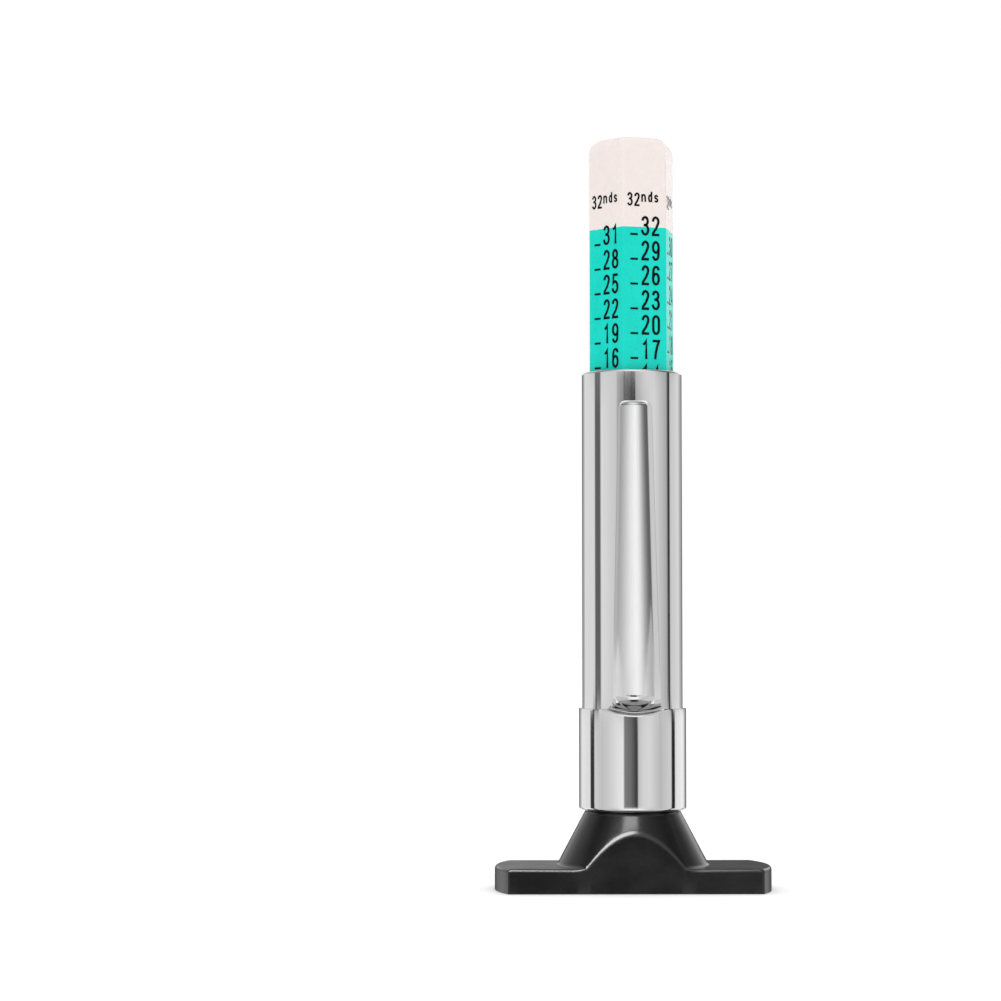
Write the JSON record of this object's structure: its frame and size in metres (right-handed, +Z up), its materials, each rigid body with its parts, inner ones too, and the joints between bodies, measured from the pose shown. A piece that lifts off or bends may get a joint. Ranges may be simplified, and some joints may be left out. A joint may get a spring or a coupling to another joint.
{
  "type": "tire tread gauge",
  "caption": "Pocket tire tread depth gauge: a hexagonal printed scale bar with a probe pin slides in a chromed barrel with a clip, on a flat black foot.",
  "frame": {"origin": "the gauge's zero point: the centre of the probe's tip, level with the sole of the foot, on the barrel's axis", "axes": "+Z up the barrel, +X along the foot, -Y towards the pocket clip"},
  "size_m": [0.0264, 0.0131, 0.0722],
  "materials": {
    "black_plastic": "satin",
    "chrome": "polished",
    "white_plastic": "satin",
    "steel": "ground",
    "brass": "satin",
    "rubber": "matte"
  },
  "bodies": {
    "barrel": {"foot": "black_plastic", "barrel_tube": "chrome", "clip_band": "chrome"},
    "clip": {"pocket_clip": "chrome"},
    "rings": {"stop_ring": "brass", "friction_ring": "rubber"},
    "bar": {"scale_bar": "white_plastic", "probe_pin": "steel"}
  },
  "joints": [
    {"name": "bar_slide", "type": "slide", "parent": "barrel", "child": "rings", "axis": [0, 0, 1], "range_m": [-0.01302, 0.01238]},
    {"name": "bar_turn", "type": "hinge", "parent": "rings", "child": "bar", "pos_m": [0, 0, 0.0335], "axis": [0, 0, 1], "continuous": true},
    {"name": "clip_spring", "type": "hinge", "parent": "barrel", "child": "clip", "pos_m": [0, -0.00515, 0.01731], "axis": [1, 0, 0], "range_deg": [0, 6], "stiffness_Nm_per_rad": 0.3}
  ]
}
